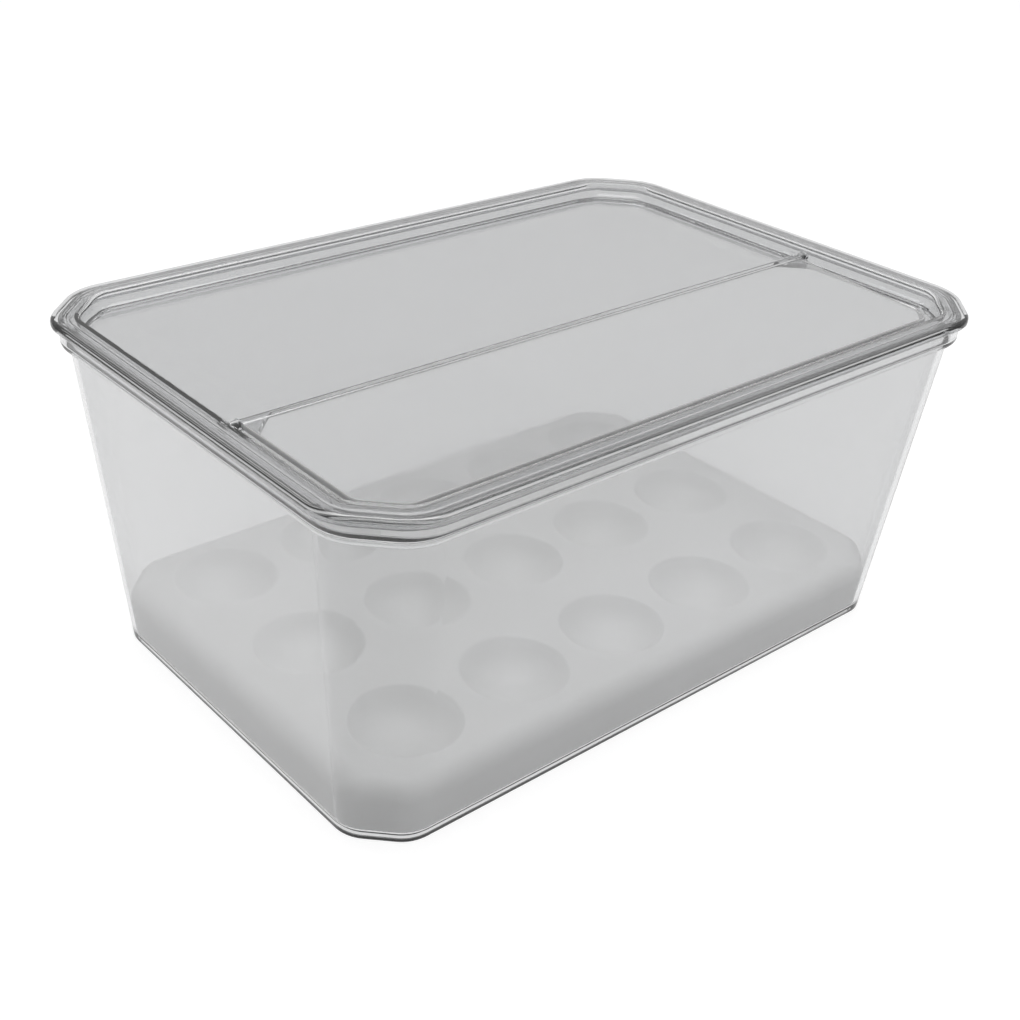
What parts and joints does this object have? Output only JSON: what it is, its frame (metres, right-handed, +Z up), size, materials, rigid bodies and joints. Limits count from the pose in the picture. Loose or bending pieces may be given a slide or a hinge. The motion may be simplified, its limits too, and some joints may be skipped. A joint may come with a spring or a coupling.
{
  "type": "egg keeper with flip lid",
  "caption": "Clear flared bin with rounded cut corners, a white lift-out tray of round egg wells and a lift-off lid whose front half is a flap that swings up on a pin hinge.",
  "frame": {"origin": "centre of the base, on the surface that the bin stands on", "axes": "+X to the right along the long front side, +Y to the back, +Z up; the flap is at the front"},
  "size_m": [0.305, 0.2146, 0.1365],
  "materials": {
    "clear_bin": "clear and glossy",
    "white_tray": "semi-gloss",
    "clear_lid": "clear and glossy",
    "clear_flap": "clear and glossy"
  },
  "bodies": {
    "bin": {"bin": "clear_bin"},
    "tray": {"egg_tray": "white_tray"},
    "lid": {"lid_frame": "clear_lid"},
    "flap": {"flip_flap": "clear_flap"}
  },
  "joints": [
    {"name": "lid_lift", "type": "slide", "parent": "bin", "child": "lid", "axis": [0, 0, 1], "range_m": [0, 0.15]},
    {"name": "flap_hinge", "type": "hinge", "parent": "lid", "child": "flap", "pos_m": [0, -0.018, 0.13215], "axis": [-1, 0, 0], "range_deg": [0, 110]},
    {"name": "tray_lift", "type": "slide", "parent": "bin", "child": "tray", "axis": [0, 0, 1], "range_m": [0, 0.09]}
  ]
}
